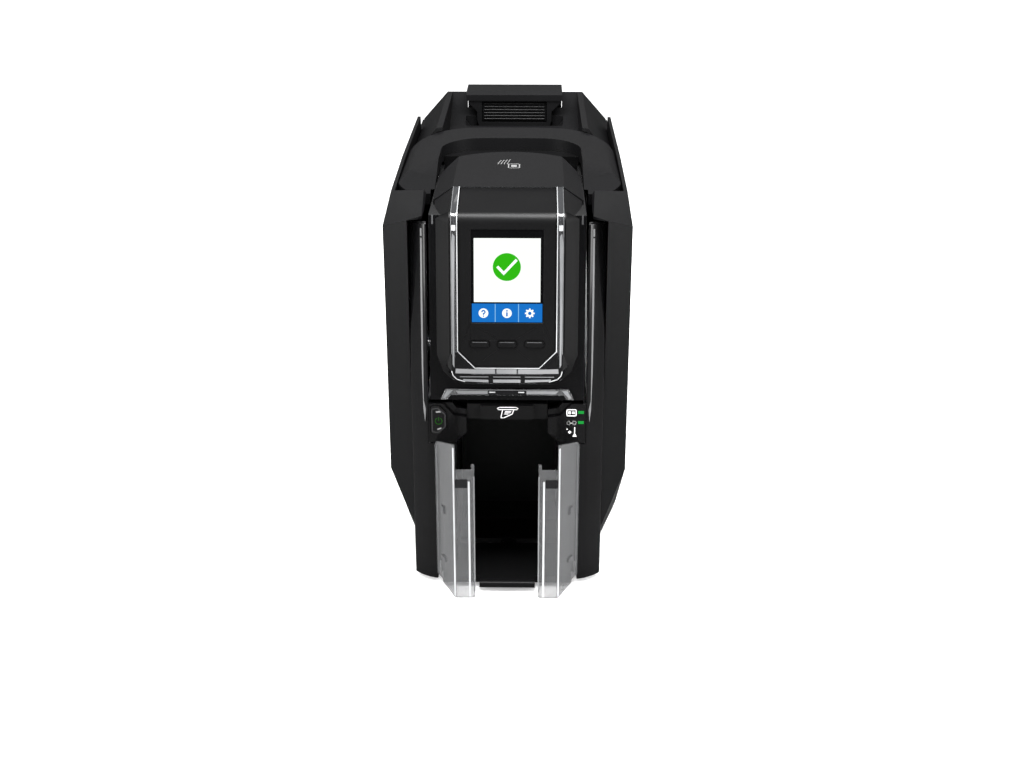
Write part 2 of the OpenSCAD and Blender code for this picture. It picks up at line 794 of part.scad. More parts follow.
module card_guide() {
  color("#3a3d40") difference() {
    union() {
      block([-guide_out, platen_y - 15.5, guide_low], [guide_out, mag_front - 0.2, guide_top]);
      both_sides() {
        block([guide_in, platen_y - 15.5, guide_top], [guide_out, mag_front - 0.2, rail_top]);
        for (y = [-30, 60])
          block([guide_out, y, guide_low], [plate_x, y + 24, guide_low + 2]);
      }
    }
    for (y = [platen_y, transport_y])
      block([-roller_l / 2 - 1, y - 9, guide_low - 1], [roller_l / 2 + 1, y + 9, guide_top + 1]);
    // the print head and the cleaning roller reach between the rails
    block([-plate_x, platen_y - 12, guide_top + 0.2], [plate_x, platen_y + 12, rail_top + 1]);
    block([-plate_x, transport_y - 9, guide_top + 0.2], [plate_x, transport_y + 9, rail_top + 1]);
  }
}

module hopper_magazine() {
  color("#3a3d40") {
    difference() {
      block([-guide_out, mag_front, guide_low], [guide_out, mag_back, guide_top]);
      block([-roller_l / 2 - 1, pick_y - 9, guide_low - 1], [roller_l / 2 + 1, pick_y + 9, guide_top + 1]);
    }
    both_sides() {
      difference() {
        block([guide_in, mag_front, guide_top], [guide_out, mag_back, mag_top]);
        // window that shows how many cards are left
        block([guide_in - 1, pick_y + 6, card_z + 12], [guide_out + 1, pick_y + 18, mag_top - 12]);
      }
      block([guide_out, mag_back - 40, guide_low], [plate_x, mag_back, guide_low + 2]);
    }
    // front wall over the exit gap
    block([-guide_in, mag_front, card_z + 1.2], [guide_in, mag_front + 2, mag_top]);
  }
}

module drive_motor() {
  color("#55585c") difference() {
    union() {
      bar_x(motor_y, motor_z, motor_r, -plate_x, -plate_x + 30);
      bar_x(motor_y, motor_z, 4.5, -plate_x + 30, -plate_x + 33);
    }
    bar_x(motor_y, motor_z, 2 + fit, -plate_x - 1, -plate_x + 12);
  }
}

module drive_belt() {
  inner = pulley_r + 0.1;
  color("#1a1a1a") translate([belt_x, 0, shaft_z]) rotate([90, 0, 90]) linear_extrude(belt_w)
    difference() {
      union() {
        for (y = [exit_y, pick_y]) translate([y, 0]) circle(r = inner + belt_t);
        translate([exit_y, -inner - belt_t]) square([pick_y - exit_y, 2 * (inner + belt_t)]);
      }
      for (y = [exit_y, pick_y]) translate([y, 0]) circle(r = inner);
      translate([exit_y, -inner]) square([pick_y - exit_y, 2 * inner]);
    }
}

module main_board() {
  board_x = plate_x + plate_t + 4;
  color("#1f5a3a") {
    block([board_x, -46, 24], [board_x + 1.6, 130, 104]);
    for (y = [-40, 124], z = [30, 98])
      bar_x(y, z, 3, plate_x + plate_t, board_x);
    for (k = [0 : 5])
      block([board_x + 1.6, -36 + k * 26, 40], [board_x + 5, -24 + k * 26, 56]);
    block([board_x + 1.6, 20, 66], [board_x + 4.6, 48, 94]);
    for (y = [70, 84, 98])
      bar_x(y, 82, 5, board_x + 1.6, board_x + 12);
  }
}

module power_supply() {
  color("#8b9095") difference() {
    block([-44, 56, base_top], [8, 170, 48]);
    for (k = [0 : 9])
      block([-45, 66 + k * 10, 46], [9, 70 + k * 10, 49]);
  }
}

module power_inlet() {
  color("#1c1c1c") {
    difference() {
      block([20.5, rear_y - 22, 15], [47.5, rear_y - 0.4, 35]);
      block([22.5, rear_y - 16, 17], [45.5, rear_y, 33]);
    }
    for (x = [-6.5, 0, 6.5])
      block([34 + x - 1, rear_y - 16, 23], [34 + x + 1, rear_y - 5, 27]);
  }
}

module rear_ports() {
  color("#a7abae") {
    difference() {
      block([-47, rear_y - 21, 15], [-31, rear_y - 0.4, 28.5]);
      block([-45, rear_y - 16, 17], [-33, rear_y, 25]);
    }
    difference() {
      block([-25, rear_y - 16, 15], [-13, rear_y - 0.4, 26]);
      block([-23, rear_y - 12, 17], [-15, rear_y, 24]);
    }
  }
}

module case_screws() {
  color("#c8ccd0")
    for (x = [-screw_x, screw_x], z = [20, 224]) {
      bar_y(x, z, 1.5, rear_y - 13, rear_y - 1.8);
      difference() {
        bar_y(x, z, 3, rear_y - 1.8, rear_y - 0.3);
        block([x - 2, rear_y - 0.9, z - 0.4], [x + 2, rear_y, z + 0.4]);
        block([x - 0.4, rear_y - 0.9, z - 2], [x + 0.4, rear_y, z + 2]);
      }
    }
}

// ---------- opening cover ----------

// depth of the leaning front plane at height z
function front_at(z) = front_y + (z - seam_z) * tan(lean);

module cover_profile(t, x0, x1) {
  along_x([[front_at(cover_bottom - t * 4) + t * 1.01, cover_bottom - t * 4],
    [front_at(cover_top - t) + t * 1.01, cover_top - t], [hinge_y - 30 - t, cover_top - t],
    [hinge_y - 10 - t, cover_top - t * 3], [cover_back, cover_bottom - t * 4]], x0, x1);
}

module cover_shell() {
  color("#0d0e10") difference() {
    union() {
      difference() {
        union() {
          cover_profile(0, -cover_x, cover_x);
          // arms that reach back to the hinge
          both_sides()
            along_x([[-60, cover_top], [hinge_y - 16, cover_top], [hinge_y, hinge_z + 7],
              [hinge_y, hinge_z - 7], [cover_back, hinge_z - 22], [-60, hinge_z - 30]],
              cover_x - wall, cover_x);
        }
        cover_profile(wall, -cover_x + wall, cover_x - wall);
        // open back
        block([-cover_x + wall, hinge_y - 28, cover_bottom - 20],
          [cover_x - wall, 10, cover_top + 5]);
      }
      both_sides() {
        bar_x(hinge_y, hinge_z, hinge_r + 4, cover_x - 4.5, cover_x + 1);
        for (y = [supply_y, takeup_y])
          bar_x(y, ribbon_z, spool_pin_r + 3, cover_x - spool_seat, cover_x - 1);
      }
    }
    both_sides() {
      bar_x(hinge_y, hinge_z, hinge_r + fit, cover_x - 10, cover_x + 5);
      for (y = [supply_y, takeup_y])
        bar_x(y, ribbon_z, spool_pin_r + fit, cover_x - 9, cover_x - 1.7);
    }
    // room around the hinge behind the arms
    block([-cover_x + 4.5, hinge_y - 8, hinge_z - 8], [cover_x - 4.5, hinge_y + 8, hinge_z + 20]);
  }
}

module cap_form(t) {
  intersection() {
    along_y([[-cap_x + t, cover_top - t * 2], [-cap_x + t, cover_top + 1.5], [-cap_flat + t * 0.4, cap_top - t],
      [cap_flat - t * 0.4, cap_top - t], [cap_x - t, cover_top + 1.5], [cap_x - t, cover_top - t * 2]],
      cap_front - 5, 0);
    translate([0, 0, cover_top - t * 2]) linear_extrude(40) union() {
      translate([-cap_x, cap_front + t]) square([2 * cap_x, 52 - t]);
      intersection() {
        translate([0, cover_back - cap_arc + 2]) circle(r = cap_arc - t, $fn = 96);
        translate([-cap_x, cap_front + 50]) square([2 * cap_x, 90]);
      }
    }
    // the front corners sweep back
    along_x([[cap_front + t, cover_top - t * 2], [cap_front + t, cap_top + 1], [10, cap_top + 1],
      [10, cover_top - t * 2]], -cap_x, cap_x);
  }
}

module contactless_cap() {
  color("#232427") difference() {
    cap_form(0);
    cap_form(wall);
  }
}

module antenna_board() {
  color("#1f5a3a")
    block([-26, -104, cover_top], [26, -54, cover_top + 1.6]);
}

// a point of the leaning frame, as depth and height of the body
function leaned(y, z) = [front_y + y * cos(lean) + z * sin(lean), seam_z - y * sin(lean) + z * cos(lean)];

// where the head's slope meets the cap, and the local height of the centre of its bend
head_back = [cap_front - 0.9, cap_top - 0.2];
slope_out = [-sin(top_slope), cos(top_slope)];
bend_z = (-bend_r - (leaned(bend_r - head_proud, 0) - head_back) * slope_out)
  / ([sin(lean), cos(lean)] * slope_out);
bend_steps = 8;

// side view of the head's front and top, from local height z0 to the cap, moved outwards by out
function head_path(out, z0) = concat([leaned(-head_proud - out, z0)],
  [for (k = [0 : bend_steps]) let (a = lean + (90 - top_slope - lean) * k / bend_steps)
    leaned(bend_r - head_proud, bend_z) + (bend_r + out) * [-cos(a), sin(a)]],
  [head_back + out * slope_out]);

// strip that follows the head's front and top between two offsets
module head_band(inner, outer, z0, x0, x1) {
  low = head_path(inner, z0);
  n = len(low);
  along_x(concat(head_path(outer, z0), [for (k = [n - 1 : -1 : 0]) low[k]]), x0, x1);
}

// small cube in the leaning frame, a corner of the head
module head_corner(x, y, z) {
  for (s = [-1, 1]) translate([s * x, y, z]) cube(0.02, center = true);
}

// the raised display head, its corners moved inwards by t
module head_form(t) {
  hull() {
    leaning() {
      head_corner(45 - t, -0.2, 118);
      head_corner(45 - t, -0.2, face_low + 7);
      head_corner(41 - t, -0.2, face_low - 4);
      head_corner(head_x - t, -0.2, face_low - 8.5);
      head_corner(30 - t, -0.2, face_low - 12.5 + t);
      head_corner(head_x - t, t - head_proud, face_low + face_cut - 1.5);
      head_corner(face_x - 8 - t, t - head_proud, face_low - 8);
      head_corner(face_x - 10 - t, t - head_proud, face_low - 11 + t);
      translate([0, bend_r - head_proud, bend_z]) rotate([0, 90, 0])
        cylinder(r = bend_r - t, h = 2 * (head_x - t), center = true, $fn = 32);
    }
    for (s = [-1, 1]) {
      translate([s * (cap_flat - 0.5), head_back[0], head_back[1] - t]) cube(0.02, center = true);
      translate([s * (47.5 - t), head_back[0], cover_top + 1.2]) cube(0.02, center = true);
      translate([s * (47.5 - t), head_back[0], cover_top - 6]) cube(0.02, center = true);
    }
  }
}

// the face's outline on the front: width, lower edge and corner cuts
function face_outline(grow, top) = [[-face_x - grow, top], [-face_x - grow, face_low + face_cut - grow * 0.4],
  [face_cut - face_x - grow * 0.4, face_low - grow], [face_x - face_cut + grow * 0.4, face_low - grow],
  [face_x + grow, face_low + face_cut - grow * 0.4], [face_x + grow, top]];

// layer of the head between two offsets, within the face's outline
module head_layer(inner, outer, grow) {
  intersection() {
    head_band(inner, outer, face_low - 8, -head_x - 1, head_x + 1);
    leaning() along_y(face_outline(grow, bend_z + 40), -bend_z, bend_z);
  }
}

module display_housing() {
  color("#151618") difference() {
    head_form(0);
    cover_profile(-0.001, -cover_x - 5, cover_x + 5);
    head_layer(face_floor - head_proud, 6, 0);
    // hollow behind the face
    leaning() block([-30, -3, 30], [30, 1, 112]);
  }
}

// face that runs up over the bend to the cap
module display_face() {
  color("#0b0b0c") difference() {
    head_layer(face_floor - head_proud, -0.1, -0.3);
    leaning() {
      face_plate(-lcd_w / 2 - 0.2, lcd_w / 2 + 0.2, lcd_low - 0.2, lcd_low + lcd_h + 0.2, 0.6,
        -head_proud - 1, 0);
      for (x = [-key_pitch, 0, key_pitch])
        face_plate(x - key_w / 2 - 0.25, x + key_w / 2 + 0.25, key_z - key_h / 2 - 0.25,
          key_z + key_h / 2 + 0.25, key_h / 2, -head_proud - 1, 0);
    }
  }
}

// clear surround, open at its top, with its two strips over the bend and its lower lip
module display_bezel() {
  color("#5d6166") {
    difference() {
      head_layer(0.02, bezel_proud, bezel_w);
      head_layer(-1, bezel_proud + 1, 0.02);
    }
    leaning()
      face_plate(1 - face_x + face_cut, face_x - face_cut - 1, face_low - 10.4, face_low - bezel_w + 0.3, 1.5,
        -head_proud - bezel_proud + 0.3, -head_proud - 0.02);
  }
}

module display_glass() {
  color("#d7e6e0") leaning()
    face_plate(-lcd_w / 2, lcd_w / 2, lcd_low, lcd_low + lcd_h, 0.5, -head_proud + 0.5, -face_floor);
}

module display_board() {
  color("#1f5a3a") leaning() {
    block([-30, wall + 3, 34], [30, wall + 4.6, 108]);
    for (x = [-26, 26], z = [38, 104])
      translate([x, wall + 3, z]) rotate([90, 0, 0]) cylinder(r = 2.4, h = 2.98);
    block([-10, wall + 4.6, 60], [10, wall + 6.6, 80]);
    block([-24, wall + 4.6, 40], [24, wall + 8, 44]);
  }
}

module menu_button(x) {
  color("#1d1e21") leaning()
    face_plate(x - key_w / 2, x + key_w / 2, key_z - key_h / 2, key_z + key_h / 2,
      key_h / 2 - 0.2, -head_proud - 0.7, -face_floor - key_travel - 0.15);
}

module left_menu_button() {
  menu_button(-key_pitch);
}

module middle_menu_button() {
  menu_button(0);
}

module right_menu_button() {
  menu_button(key_pitch);
}

module light_bar() {
  color("#c9d0d6") leaning() rotate([90, 0, 0]) linear_extrude(2.6)
    polygon([[-39.6, 8.6], [39.6, 8.6], [43, 1.6], [38.4, 1.6], [36.4, 4.6],
      [-36.4, 4.6], [-38.4, 1.6], [-43, 1.6]]);
}

module head_bracket() {
  color("#9a9fa3") difference() {
    union() {
      block([-38, platen_y - 2, head_z + 13.4], [38, platen_y, cover_top - wall]);
      block([-34, platen_y - 9, head_z + 13.4], [34, platen_y + 9, head_z + 15.4]);
      block([-cover_x + wall, platen_y - 2, 200], [cover_x - wall, platen_y, 216]);
    }
    for (x = [-24, 24])
      translate([x, platen_y + 5, head_z]) cylinder(r = 2.2, h = 30);
  }
}

module head_springs() {
  color("#c8ccd0")
    for (x = [-24, 24])
      translate([x, platen_y + 5, head_z + 9.6]) difference() {
        cylinder(r = 3.6, h = 3.8);
        translate([0, 0, -1]) cylinder(r = 2.6, h = 6);
      }
}

module printhead() {
  color("#b8bcc0") {
    block([-32, platen_y - 8, head_z], [32, platen_y + 8, head_z + 8.4]);
    for (x = [-24, 24])
      translate([x, platen_y + 5, head_z + 8.4]) cylinder(r = 2, h = 9);
  }
}

module ribbon_roll(y, r) {
  bar_x(y, ribbon_z, spool_pin_r, -cover_x + 1.9, cover_x - 1.9);
  bar_x(y, ribbon_z, spool_pin_r + 2, -cover_x + spool_seat + 0.4, cover_x - spool_seat - 0.4);
  bar_x(y, ribbon_z, r, -card_w / 2 - 1, card_w / 2 + 1);
}

module ribbon_supply_roll() {
  color("#26282b") ribbon_roll(supply_y, supply_r);
}

module ribbon_takeup_roll() {
  color("#26282b") ribbon_roll(takeup_y, takeup_r);
}

// ---------- buttons, card door and rollers ----------

module power_button() {
  color("#141517") {
    power_form(0, front_y - 2.2, front_y + wall);
    power_form(-2.6, front_y + wall, block_back - power_travel - 0.2);
  }
}

module card_door() {
  color("#1c1d20") difference() {
    union() {
      // cap with a lip for the fingers
      along_x([[rear_y, lid_low], [rear_y, lid_top - 2.4], [rear_y - 2.4, lid_top], [lid_front + 4, lid_top],
        [lid_front, lid_top - 2.6], [lid_front, lid_low]], -door_x, door_x);
      // grip body under the cap
      along_y([[-grip_x + 2, grip_low], [-grip_x, grip_low + 6], [-grip_x, neck_low], [-door_x + 1.5, lid_low - 2],
        [-door_x + 1.5, lid_low], [door_x - 1.5, lid_low], [door_x - 1.5, lid_low - 2], [grip_x, neck_low],
        [grip_x, grip_low + 6], [grip_x - 2, grip_low]], grip_front, rear_y - door_t);
      // back panel
      block([-door_x, rear_y - door_t, door_pin_z], [door_x, rear_y, lid_low]);
      bar_x(door_pin_y, door_pin_z, barrel_r, -door_x, door_x);
    }
    bar_x(door_pin_y, door_pin_z, door_pin_r + fit, -door_x - 1, door_x + 1);
    // hollow cap and grip
    block([-grip_x + 5, grip_front + 14, grip_low - 1], [grip_x - 5, rear_y - door_t - 2, lid_top - 3]);
    // window of the latch
    block([-latch_x - 0.4, grip_front - 1, grip_low + 4.6], [latch_x + 0.4, grip_front + 9, lid_low - 0.8]);
    bar_x(latch_y, latch_z, latch_pin_r + fit, -latch_x - 2.4, latch_x + 2.4);
  }
}

module door_latch() {
  color("#121315") {
    block([-latch_x, grip_front + 1.4, grip_low + 5.6], [latch_x, latch_y + 1, lid_low - 2]);
    for (k = [0 : 5])
      bar_x(grip_front + 1.4, grip_low + 7 + k * 2.5, 0.8, -latch_x + 1.5, latch_x - 1.5);
    bar_x(latch_y, latch_z, latch_pin_r, -latch_x - 2.2, latch_x + 2.2);
  }
}

module card_weight() {
  color("#4a4d50") {
    block([-card_w / 2, mag_front + 3, card_z], [card_w / 2, rear_y - 10, card_z + 3]);
    block([-card_w / 2 + 4, pick_y - 12, card_z + 3], [card_w / 2 - 4, pick_y + 12, card_z + 14]);
  }
}

module motor_pinion() {
  color("#c9b27a") {
    gear(pinion_n, gear_m, motor_y, motor_z, mesh_angle + 180 + 180 / pinion_n, gear_x, gear_x + gear_w);
    bar_x(motor_y, motor_z, 2, gear_x - 1, -plate_x + 10);
  }
}

module platen_shaft() {
  color("#b8bcc0") {
    shaft(platen_y);
    gear(gear_n, gear_m, platen_y, shaft_z, mesh_angle, gear_x, gear_x + gear_w);
  }
}

module platen_roller() {
  color("#1b1b1b") difference() {
    bar_x(platen_y, shaft_z, roller_r, -roller_l / 2, roller_l / 2);
    bar_x(platen_y, shaft_z, shaft_r, -roller_l / 2 - 1, roller_l / 2 + 1);
  }
}

module exit_roller() {
  color("#2a2a2a") roller(exit_y);
}

module transport_roller() {
  color("#2a2a2a") roller(transport_y);
}

module pick_roller() {
  color("#2a2a2a") roller(pick_y);
}

module cleaning_roller() {
  color("#3f6fb0") {
    bar_x(transport_y, cleaner_z, cleaner_r, -roller_l / 2, roller_l / 2);
    bar_x(transport_y, cleaner_z, cleaner_pin_r, -plate_x - plate_t - 0.5, plate_x + plate_t + 0.5);
  }
}

module diverter_flap() {
  color("#3a3d40") {
    bar_x(flap_y, flap_z, flap_pin_r, -plate_x - plate_t - 0.5, plate_x + plate_t + 0.5);
    block([-card_w / 2, flap_y - flap_l, flap_z - 0.6], [card_w / 2, flap_y, flap_z + 0.8]);
  }
}

base_tray();
rubber_feet();
left_side_panel();
right_side_panel();
left_column();
right_column();
slot_frame();
slot_label_plate();
left_control_block();
right_control_block();
status_lights();
output_tray();
left_output_guard();
right_output_guard();
top_hood();
hinge_well();
rear_housing();
left_chassis_plate();
right_chassis_plate();
hinge_pins();
shaft_bushes();
card_guide();
hopper_magazine();
drive_motor();
drive_belt();
main_board();
power_supply();
power_inlet();
rear_ports();
case_screws();
cover_shell();
contactless_cap();
antenna_board();
display_housing();
display_face();
display_bezel();
display_glass();
display_board();
light_bar();
head_bracket();
head_springs();
printhead();
ribbon_supply_roll();
ribbon_takeup_roll();
left_menu_button();
middle_menu_button();
right_menu_button();
power_button();
card_door();
door_latch();
card_weight();
motor_pinion();
platen_shaft();
platen_roller();
exit_roller();
transport_roller();
pick_roller();
cleaning_roller();
diverter_flap();
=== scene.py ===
import json
import math

import bmesh
import bpy
from mathutils import Matrix, Vector


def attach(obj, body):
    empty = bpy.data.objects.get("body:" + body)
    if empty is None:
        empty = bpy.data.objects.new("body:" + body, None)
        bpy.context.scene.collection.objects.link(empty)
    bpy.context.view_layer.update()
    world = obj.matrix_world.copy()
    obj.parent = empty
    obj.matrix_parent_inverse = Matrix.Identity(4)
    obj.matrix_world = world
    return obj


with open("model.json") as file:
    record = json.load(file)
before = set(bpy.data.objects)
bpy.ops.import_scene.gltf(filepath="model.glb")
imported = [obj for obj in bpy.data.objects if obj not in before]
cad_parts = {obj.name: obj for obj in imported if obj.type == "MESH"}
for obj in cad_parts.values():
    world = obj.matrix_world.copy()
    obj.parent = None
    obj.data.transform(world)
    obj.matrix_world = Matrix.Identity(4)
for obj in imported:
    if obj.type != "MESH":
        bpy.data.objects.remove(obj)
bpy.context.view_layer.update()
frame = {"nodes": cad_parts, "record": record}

nodes = frame["nodes"]
MM = 0.001
SIDES = ((-1, "left"), (1, "right"))

# ---------- camera, light and floor ----------

CAMERA_AT = (0.0159, -1.018, 0.487)
CAMERA_DOWN = math.radians(22)
CAMERA_TURN = math.radians(0.865)
LENS_MM = 50
FILM_MM = 36
NEAR_CLIP = 0.01

WHITE = (1, 1, 1, 1)
FLOOR_REACH = 30
FLOOR_ROUGHNESS = 0.8
# each pair: the value as seen directly, and as mirrored by shiny surfaces
STUDIO_LIGHT = (1.0, 0.07)
FLOOR_GLOW = (0.3, 0.0)
FLOOR_SHADE = (0.9, 0.12)
# name, place, target, width, height, watts
LIGHTS = (
    ("key_left", (-1.0, -0.75, 0.6), (0, -0.1, 0.15), 0.35, 1.2, 16),
    ("key_right", (1.0, -0.75, 0.6), (0, -0.1, 0.15), 0.35, 1.2, 16),
    ("top", (0, -0.3, 1.3), (0, -0.12, 0.2), 1.4, 0.45, 45),
    ("back", (0, 1.6, 0.95), (0, 0, 0.25), 1.8, 0.4, 1.5),
)


def make_camera():
    data = bpy.data.cameras.new("camera")
    data.lens = LENS_MM
    data.sensor_width = FILM_MM
    data.clip_start = NEAR_CLIP
    camera = bpy.data.objects.new("camera", data)
    camera.location = CAMERA_AT
    camera.rotation_euler = (math.pi / 2 - CAMERA_DOWN, 0, CAMERA_TURN)
    bpy.context.scene.collection.objects.link(camera)
    bpy.context.scene.camera = camera


def area_light(name, place, target, width, height, watts):
    data = bpy.data.lights.new(name, "AREA")
    data.shape = "RECTANGLE"
    data.size, data.size_y = width, height
    data.energy = watts
    light = bpy.data.objects.new(name, data)
    light.location = place
    aim = Vector(target) - Vector(place)
    light.rotation_euler = aim.to_track_quat("-Z", "Y").to_euler()
    bpy.context.scene.collection.objects.link(light)


def map_range(tree, value, low, high, socket):
    """Let a socket go from low to high as a value goes from 0 to 1."""
    mix = tree.nodes.new("ShaderNodeMapRange")
    mix.inputs["To Min"].default_value = low
    mix.inputs["To Max"].default_value = high
    tree.links.new(value, mix.inputs["Value"])
    tree.links.new(mix.outputs["Result"], socket)


def dim_in_glossy(tree, socket, seen_mirrored):
    """Strength that is lower where shiny surfaces mirror it, as with a studio's black flags."""
    path = tree.nodes.new("ShaderNodeLightPath")
    map_range(tree, path.outputs["Is Glossy Ray"], *seen_mirrored, socket)


def make_stage():
    bpy.context.scene.view_settings.view_transform = "Standard"
    world = bpy.data.worlds.new("studio")
    bpy.context.scene.world = world
    world.use_nodes = True
    back = world.node_tree.nodes["Background"]
    back.inputs["Color"].default_value = WHITE
    dim_in_glossy(world.node_tree, back.inputs["Strength"], STUDIO_LIGHT)
    mesh = bpy.data.meshes.new("floor")
    corners = rect(-FLOOR_REACH, FLOOR_REACH, -FLOOR_REACH, FLOOR_REACH)
    mesh.from_pydata([(x, y, 0) for x, y in corners], [], [(0, 1, 2, 3)])
    floor = bpy.data.objects.new("floor", mesh)
    bpy.context.scene.collection.objects.link(floor)
    material, tree, shader = new_material("floor_white")
    shader.inputs["Roughness"].default_value = FLOOR_ROUGHNESS
    shader.inputs["Emission Color"].default_value = WHITE
    dim_in_glossy(tree, shader.inputs["Emission Strength"], FLOOR_GLOW)
    dim_in_glossy(tree, shader.inputs["Base Color"], FLOOR_SHADE)
    floor.data.materials.append(material)
    for light in LIGHTS:
        area_light(*light)


# ---------- materials ----------

# noise scales are per metre of the object
CLOUD_SCALE = 18
CLOUD_DETAIL = 3
CLOUD_SPREAD = (0.3, 0.7)
STREAK_SCALE = 160
STREAK_DETAIL = 4
STREAK_VARY = 0.15
CLEAR_SCALE = 30
CLEAR_VARY = (0.9, 1.08)
GLOW_SCALE = 25
GLOW_BASE = 0.08       # share of a lit colour that the unlit surface has
GLOW_ROUGHNESS = 0.3
GLOW_SPECULAR = 0.1
# shares of the roughness that a surface varies between
PLASTIC_GLOSS = (0.93, 1.08)
METAL_GLOSS = (0.8, 1.25)
CLEAR_GLOSS = (0.8, 1.2)
COAT_ROUGHNESS = 0.04
CLEAR_COAT_ROUGHNESS = 0.14
GRAIN_HEIGHT = 0.0002
RIM_BLEND = 0.35       # how far the denser rim of clear plastic reaches in
RIM_ALPHA = 0.45       # how much denser the rim is


def new_material(name):
    material = bpy.data.materials.new(name)
    material.use_nodes = True
    tree = material.node_tree
    return material, tree, tree.nodes["Principled BSDF"]


def object_place(tree):
    return tree.nodes.new("ShaderNodeTexCoord").outputs["Object"]


def noise(tree, place, scale, detail=2):
    node = tree.nodes.new("ShaderNodeTexNoise")
    node.inputs["Scale"].default_value = scale
    node.inputs["Detail"].default_value = detail
    tree.links.new(place, node.inputs["Vector"])
    return node.outputs["Fac"]


def vary_color(tree, value, color, shares, socket, spread=(0, 1)):
    """Let a value move a colour between two shares of itself."""
    shade = tree.nodes.new("ShaderNodeValToRGB")
    ends = shade.color_ramp.elements
    ends[0].position, ends[1].position = spread
    for end, share in zip(ends, shares):
        end.color = (*[min(1, c * share) for c in color], 1)
    tree.links.new(value, shade.inputs["Fac"])
    tree.links.new(shade.outputs["Color"], socket)


def vary_gloss(tree, value, roughness, shares, shader):
    low, high = [min(1, roughness * share) for share in shares]
    map_range(tree, value, low, high, shader.inputs["Roughness"])


def plastic(name, color, roughness, grain=0.0, grain_mm=0.6, coat=0.0, vary=0.12, specular=0.5):
    """Moulded plastic: fine spark-eroded grain, slight shade and gloss variation."""
    material, tree, shader = new_material(name)
    place = object_place(tree)
    cloud = noise(tree, place, CLOUD_SCALE, CLOUD_DETAIL)
    vary_color(tree, cloud, color, (1 - vary, 1 + vary), shader.inputs["Base Color"], CLOUD_SPREAD)
    vary_gloss(tree, cloud, roughness, PLASTIC_GLOSS, shader)
    shader.inputs["Specular IOR Level"].default_value = specular
    if coat:
        shader.inputs["Coat Weight"].default_value = coat
        shader.inputs["Coat Roughness"].default_value = COAT_ROUGHNESS
    if grain:
        bump = tree.nodes.new("ShaderNodeBump")
        bump.inputs["Strength"].default_value = grain
        bump.inputs["Distance"].default_value = GRAIN_HEIGHT
        tree.links.new(noise(tree, place, 1 / (grain_mm * MM)), bump.inputs["Height"])
        tree.links.new(bump.outputs["Normal"], shader.inputs["Normal"])
    return material


def metal(name, color, roughness, stretch=(1, 1, 1)):
    """Metal with fine streaks along one direction."""
    material, tree, shader = new_material(name)
    shader.inputs["Metallic"].default_value = 1
    scale = tree.nodes.new("ShaderNodeMapping")
    scale.inputs["Scale"].default_value = stretch
    tree.links.new(object_place(tree), scale.inputs["Vector"])
    streaks = noise(tree, scale.outputs["Vector"], STREAK_SCALE, STREAK_DETAIL)
    shares = (1 - STREAK_VARY, 1 + STREAK_VARY)
    vary_color(tree, streaks, color, shares, shader.inputs["Base Color"])
    vary_gloss(tree, streaks, roughness, METAL_GLOSS, shader)
    return material


def clear(name, tint, roughness, body):
    """Clear moulded plastic: glossy surface over a partly see-through body."""
    material, tree, shader = new_material(name)
    cloud = noise(tree, object_place(tree), CLEAR_SCALE)
    vary_color(tree, cloud, tint, CLEAR_VARY, shader.inputs["Base Color"])
    rim = tree.nodes.new("ShaderNodeLayerWeight")
    rim.inputs["Blend"].default_value = RIM_BLEND
    map_range(tree, rim.outputs["Facing"], body, min(1, body + RIM_ALPHA), shader.inputs["Alpha"])
    vary_gloss(tree, cloud, roughness, CLEAR_GLOSS, shader)
    shader.inputs["Coat Weight"].default_value = 1
    shader.inputs["Coat Roughness"].default_value = CLEAR_COAT_ROUGHNESS
    return material


def glowing(name, color, strength, vary=0.05):
    """Lit display or light pipe."""
    material, tree, shader = new_material(name)
    cloud = noise(tree, object_place(tree), GLOW_SCALE)
    vary_color(tree, cloud, color, (1 - vary, 1 + vary), shader.inputs["Emission Color"])
    shader.inputs["Base Color"].default_value = (*[c * GLOW_BASE for c in color], 1)
    shader.inputs["Emission Strength"].default_value = strength
    shader.inputs["Roughness"].default_value = GLOW_ROUGHNESS
    shader.inputs["Specular IOR Level"].default_value = GLOW_SPECULAR
    return material


